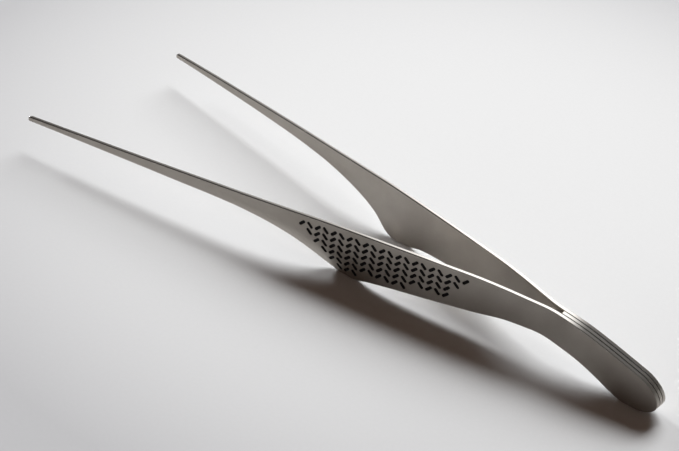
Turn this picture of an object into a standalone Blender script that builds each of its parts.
"""Long-nosed kitchen tongs of the tweezer kind, lying on edge with the arms sprung open.

Two mirrored arms of sheet steel and a flat spacer are welded together at the tail. Each arm is
modelled as its welded tail tab and its free blade, which meet at the neck where the sheet flexes.
Run with blender --background --python part.py, or from Blender's text editor.

Frame: metres, +Z up, the tail at +X and the tips at -X, the near arm at -Y. The origin is the
centre of the bounding box, at the level of the feet. A station is a distance from the tail's end.
"""
import math

import bmesh
import bpy
from mathutils import Matrix

MM = 0.001

# Driving sizes of the whole
OVERALL_LENGTH = 210 * MM
CREST_HEIGHT = 17.0 * MM
SHEET_THICKNESS = 1.3 * MM
EDGE_CHAMFER = 0.15 * MM

# The tail: three layers with a line of light between them, welded at spots
SPACER_LENGTH = 33.6 * MM
SPACER_THICKNESS = 1.2 * MM
LAYER_GAP = 0.3 * MM
TAIL_END_ROUNDING = 7.0 * MM
WELD_DIAMETER = 3.6 * MM
WELD_STATION_shares = (0.25, 0.55, 0.85)
WELD_SIDES = 16

# The neck, where the arms leave the spacer, spread and flex
NECK_START_CLEARANCE = 0.3 * MM
NECK_BEND_LENGTH = 5 * MM
SPREAD_AT_NECK = math.radians(11.95)
SPREAD_AT_TIP = math.radians(8.4)
FLEX_SLIT = 0.3 * MM

# The side outline, from the tail to the tips: (share of the length, share of the crest height)
TOP_EDGE_shares = (
    (0.000, 0.512), (0.024, 0.587), (0.060, 0.699), (0.093, 0.796), (0.124, 0.872), (0.165, 0.929),
    (0.205, 0.962), (0.240, 0.988), (0.275, 1.000), (0.320, 0.990), (0.400, 0.961), (0.490, 0.923),
    (0.550, 0.878), (0.615, 0.828), (0.680, 0.783), (0.750, 0.732), (0.820, 0.680), (0.890, 0.630),
    (1.000, 0.546),
)
BOTTOM_EDGE_shares = (
    (0.000, 0.000), (0.047, 0.000), (0.066, 0.055), (0.089, 0.165), (0.109, 0.250), (0.128, 0.312),
    (0.148, 0.356), (0.193, 0.427), (0.221, 0.422), (0.277, 0.320), (0.335, 0.231), (0.394, 0.140),
    (0.424, 0.079), (0.450, 0.000), (0.472, 0.000), (0.486, 0.044), (0.518, 0.230), (0.549, 0.352),
    (0.580, 0.431), (0.612, 0.484), (0.645, 0.516), (0.695, 0.528), (0.777, 0.520), (0.848, 0.504),
    (0.920, 0.484), (1.000, 0.454),
)

# The lower half of the sheet curls in at the front of the grip and bows out a little behind it:
# (share of the length, share of the depth)
CURL_DEPTH = 1.85 * MM
CURL_START_share = 0.45
CURL_shares = (
    (0.000, 0.00), (0.290, 0.00), (0.360, -0.14), (0.405, -0.14), (0.430, 0.02), (0.448, 0.30),
    (0.467, 0.74), (0.486, 1.00), (0.505, 0.70), (0.524, 0.48), (0.553, 0.39), (0.581, 0.33),
    (0.610, 0.26), (0.667, 0.13), (0.735, 0.00), (1.000, 0.00),
)
ROW_shares = (0.0, 0.25, 0.45, 0.65, 0.83, 1.0)

# The grip's recesses: short slanted bars in straight rows and columns
BAR_LENGTH = 2.3 * MM
BAR_WIDTH = 0.85 * MM
BAR_DEPTH = 0.35 * MM
BAR_SLANT = math.radians(45)
BAR_PITCH = 2.55 * MM
ROW_PITCH = 2.15 * MM
FIRST_ROW_DROP = 2.7 * MM
GRIP_REAR_STATION = 60.8 * MM
GRIP_FRONT_STATION = 112.8 * MM
GRIP_REAR_SLANT_share = 0.95
GRIP_FRONT_SLANT_share = 1.20
GRIP_MARGIN = 0.9 * MM
CUTTER_OVERRUN = 0.5 * MM

# The mesh
STATION_STEP = 3.5 * MM
TAIL_END_STEPS = 6
MERGE_DISTANCE = 0.001 * MM

# Worked out from the sizes above
SPACER_FACE = SPACER_THICKNESS / 2
TAB_INNER = SPACER_FACE + LAYER_GAP
TAB_OUTER = TAB_INNER + SHEET_THICKNESS
NECK_START = SPACER_LENGTH + NECK_START_CLEARANCE
NECK_END = NECK_START + NECK_BEND_LENGTH
FLEX_STATION = NECK_START + NECK_BEND_LENGTH / 2
SPREAD_SLOPES = (math.tan(SPREAD_AT_NECK), math.tan(SPREAD_AT_TIP))

NEAR, FAR = -1, 1


def read_off(shares, station):
    """Read a table of shares at a station, on a curve that never overshoots its points."""
    points = [(along * OVERALL_LENGTH, share) for along, share in shares]
    secants = [(b[1] - a[1]) / (b[0] - a[0]) for a, b in zip(points, points[1:])]
    slopes = [secants[0]]
    for before, after in zip(secants, secants[1:]):
        level = before * after <= 0
        slopes.append(0.0 if level else 2 * before * after / (before + after))
    slopes.append(secants[-1])
    last = len(secants) - 1
    k = next((i for i in range(last) if station <= points[i + 1][0]), last)
    (start, low), (end, high) = points[k], points[k + 1]
    run = end - start
    t = (station - start) / run
    return (low * (1 + 2 * t) * (1 - t) ** 2 + high * t * t * (3 - 2 * t)
            + run * t * (1 - t) * (slopes[k] * (1 - t) - slopes[k + 1] * t))


def edges(station):
    """Heights of the top and bottom edge at a station, with the tail's end rounded off."""
    top = CREST_HEIGHT * read_off(TOP_EDGE_shares, station)
    bottom = CREST_HEIGHT * read_off(BOTTOM_EDGE_shares, station)
    if station < TAIL_END_ROUNDING:
        middle = (top + bottom) / 2
        reach = 1 - station / TAIL_END_ROUNDING
        share = math.sqrt(max(1 - reach * reach, 0.0))
        top = middle + (top - middle) * share
        bottom = middle + (bottom - middle) * share
    return top, bottom


def spread(station):
    """Distance from the middle plane to an arm's outer face at its top edge."""
    bend = min(max(station - NECK_START, 0.0), NECK_BEND_LENGTH)
    blade = max(station - NECK_END, 0.0)
    at_neck, at_tip = SPREAD_SLOPES
    easing = (at_neck - at_tip) * blade / (OVERALL_LENGTH - NECK_END) / 2
    return TAB_OUTER + at_neck * bend * bend / NECK_BEND_LENGTH / 2 + blade * (at_neck - easing)


def curl(station, down):
    """How far an arm's face turns in at a station, down a share of the height."""
    below = max(down - CURL_START_share, 0.0) / (1 - CURL_START_share)
    return CURL_DEPTH * read_off(CURL_shares, station) * below * below


def arm_faces(station, down):
    """Distances of an arm's outer and inner face from the middle plane."""
    outer = spread(station) - curl(station, down)
    return outer, outer - SHEET_THICKNESS


def spacer_faces(station, down):
    """Distances of the spacer's two faces from the middle plane."""
    return SPACER_FACE, -SPACER_FACE


def frame_x(station):
    """X of a station: the origin is halfway along."""
    return OVERALL_LENGTH / 2 - station


def stations(start, end):
    """Stations of a sheet's cross-sections, close together round the tail's end."""
    found = [start]
    if start < TAIL_END_ROUNDING:
        turns = [math.pi / 2 * k / TAIL_END_STEPS for k in range(1, TAIL_END_STEPS + 1)]
        found += [TAIL_END_ROUNDING * (1 - math.cos(turn)) for turn in turns]
    marks = [x * OVERALL_LENGTH for x, _ in BOTTOM_EDGE_shares]
    marks = [mark for mark in marks if found[-1] + STATION_STEP / 4 < mark < end - STATION_STEP / 4]
    for mark in marks + [end]:
        low = found[-1]
        steps = max(1, round((mark - low) / STATION_STEP))
        found += [low + (mark - low) * k / steps for k in range(1, steps + 1)]
    return found


def section(station, faces, side, rows):
    """Closed loop of points round a sheet at a station, chamfered at its four edges."""
    top, bottom = edges(station)
    height = top - bottom
    chamfer = min(EDGE_CHAMFER, height / 5)
    outer, inner = [], []
    for down in rows:
        level = min(max(top - height * down, bottom + chamfer), top - chamfer)
        out, back = faces(station, down)
        outer.append((out, level))
        inner.append((back, level))
    loop = [(outer[0][0] - chamfer, top)] + outer + [(outer[-1][0] - chamfer, bottom)]
    loop += [(inner[-1][0] + chamfer, bottom)] + inner[::-1] + [(inner[0][0] + chamfer, top)]
    return [(frame_x(station), side * y, z) for y, z in loop]


def sheet_mesh(name, start, end, faces, side, rows, origin):
    """Loft a closed sheet between two stations, with its points taken from an origin."""
    mesh = bmesh.new()
    loops = []
    for station in stations(start, end):
        points = section(station, faces, side, rows)
        loops.append([mesh.verts.new([p - o for p, o in zip(point, origin)]) for point in points])
    count = len(loops[0])
    for here, beyond in zip(loops, loops[1:]):
        for k in range(count):
            mesh.faces.new((here[k], here[(k + 1) % count], beyond[(k + 1) % count], beyond[k]))
    mesh.faces.new(loops[0][::-1])
    mesh.faces.new(loops[-1])
    bmesh.ops.remove_doubles(mesh, verts=mesh.verts, dist=MERGE_DISTANCE)
    bmesh.ops.dissolve_degenerate(mesh, edges=mesh.edges, dist=MERGE_DISTANCE)
    bmesh.ops.recalc_face_normals(mesh, faces=mesh.faces)
    data = bpy.data.meshes.new(name)
    mesh.to_mesh(data)
    mesh.free()
    return data


def add_object(name, data, material, location=(0, 0, 0)):
    """Put a mesh in the scene under a name, with its material."""
    piece = bpy.data.objects.new(name, data)
    piece.location = location
    bpy.context.scene.collection.objects.link(piece)
    if material:
        data.materials.append(material)
    return piece


def steel(name, colour, roughness):
    """A bare steel finish."""
    material = bpy.data.materials.new(name)
    material.use_nodes = True
    shader = material.node_tree.nodes["Principled BSDF"]
    shader.inputs["Base Color"].default_value = (*colour, 1)
    shader.inputs["Metallic"].default_value = 1
    shader.inputs["Roughness"].default_value = roughness
    return material


def flex_axis(side):
    """A point on the upright line that a blade turns about: the middle of the sheet at the neck."""
    outer, inner = arm_faces(FLEX_STATION, 0)
    return frame_x(FLEX_STATION), side * (outer + inner) / 2, 0.0


def add_tail_tab(name, side, material):
    """The welded end of an arm, from the tail's end to the line where the neck flexes."""
    end = FLEX_STATION - FLEX_SLIT / 2
    data = sheet_mesh(name, 0.0, end, arm_faces, side, ROW_shares[::len(ROW_shares) - 1], (0, 0, 0))
    return add_object(name, data, material)


def add_spacer(name, material):
    """The flat piece between the two arms at the tail, of the same side outline."""
    data = sheet_mesh(name, 0.0, SPACER_LENGTH, spacer_faces, FAR, (0.0, 1.0), (0, 0, 0))
    return add_object(name, data, material)


def add_weld(name, side, share, material):
    """A spot weld that fills the line between the spacer and an arm."""
    station = share * SPACER_LENGTH
    level = sum(edges(station)) / 2
    mesh = bmesh.new()
    bmesh.ops.create_cone(mesh, cap_ends=True, segments=WELD_SIDES, radius1=WELD_DIAMETER / 2,
                          radius2=WELD_DIAMETER / 2, depth=LAYER_GAP,
                          matrix=Matrix.Rotation(math.radians(90), 4, "X"))
    data = bpy.data.meshes.new(name)
    mesh.to_mesh(data)
    mesh.free()
    return add_object(name, data, material, (frame_x(station), side * (SPACER_FACE + LAYER_GAP / 2), level))


def bars():
    """Middles of the grip's bars, as (station, height, slant), in rows that follow the top edge."""
    reach = (BAR_LENGTH * math.sin(BAR_SLANT) + BAR_WIDTH * math.cos(BAR_SLANT)) / 2
    columns = int((GRIP_FRONT_STATION - GRIP_REAR_STATION) / BAR_PITCH)
    rows = int(CREST_HEIGHT / ROW_PITCH)
    for column in range(columns + 1):
        station = GRIP_REAR_STATION + column * BAR_PITCH
        top = edges(station)[0]
        bottom = max(edges(station - reach)[1], edges(station + reach)[1])
        slant = BAR_SLANT if column % 2 else -BAR_SLANT
        for row in range(rows):
            drop = row * ROW_PITCH
            level = top - FIRST_ROW_DROP - drop
            inside = level - reach > bottom + GRIP_MARGIN
            behind_front = station < GRIP_FRONT_STATION - GRIP_FRONT_SLANT_share * drop
            ahead_of_rear = station > GRIP_REAR_STATION + GRIP_REAR_SLANT_share * drop - BAR_PITCH / 2
            if inside and behind_front and ahead_of_rear:
                yield station, level, slant


def add_bar_cutter(name, side, origin):
    """One mesh of all the prisms that cut an arm's grip recesses."""
    mesh = bmesh.new()
    for station, level, slant in bars():
        near, deep = [], []
        for across, along in ((-1, -1), (1, -1), (1, 1), (-1, 1)):
            a, b = across * BAR_WIDTH / 2, along * BAR_LENGTH / 2
            x = station + a * math.cos(slant) + b * math.sin(slant)
            z = level - a * math.sin(slant) + b * math.cos(slant)
            top, bottom = edges(x)
            face = arm_faces(x, (top - z) / (top - bottom))[0]
            for ring, y in ((near, face + CUTTER_OVERRUN), (deep, face - BAR_DEPTH)):
                point = (frame_x(x), side * y, z)
                ring.append(mesh.verts.new([p - o for p, o in zip(point, origin)]))
        mesh.faces.new(near)
        mesh.faces.new(deep[::-1])
        for k in range(4):
            mesh.faces.new((near[k], deep[k], deep[(k + 1) % 4], near[(k + 1) % 4]))
    bmesh.ops.recalc_face_normals(mesh, faces=mesh.faces)
    data = bpy.data.meshes.new(name)
    mesh.to_mesh(data)
    mesh.free()
    cutter = add_object(name, data, None, origin)
    cutter.hide_render = True
    cutter.display_type = "WIRE"
    return cutter


def add_blade(name, side, material):
    """The free length of an arm, from the neck to the tip, with its grip recesses."""
    origin = flex_axis(side)
    start = FLEX_STATION + FLEX_SLIT / 2
    data = sheet_mesh(name, start, OVERALL_LENGTH, arm_faces, side, ROW_shares, origin)
    blade = add_object(name, data, material, origin)
    cut = blade.modifiers.new("grip_recesses", "BOOLEAN")
    cut.object = add_bar_cutter(name + "_cutter", side, origin)
    cut.operation = "DIFFERENCE"
    cut.solver = "EXACT"
    return blade


def build():
    """Build the tongs."""
    for old in list(bpy.data.objects):
        bpy.data.objects.remove(old)
    arm_steel = steel("brushed_steel", (0.56, 0.55, 0.53), 0.32)
    spacer_steel = steel("spacer_steel", (0.52, 0.51, 0.50), 0.36)
    weld_steel = steel("weld_steel", (0.42, 0.41, 0.40), 0.55)
    for side, name in ((NEAR, "near"), (FAR, "far")):
        add_tail_tab(name + "_arm_tail", side, arm_steel)
        add_blade(name + "_arm_blade", side, arm_steel)
        for place, share in zip(("rear", "middle", "front"), WELD_STATION_shares):
            add_weld(name + "_weld_" + place, side, share, weld_steel)
    add_spacer("tail_spacer", spacer_steel)


build()
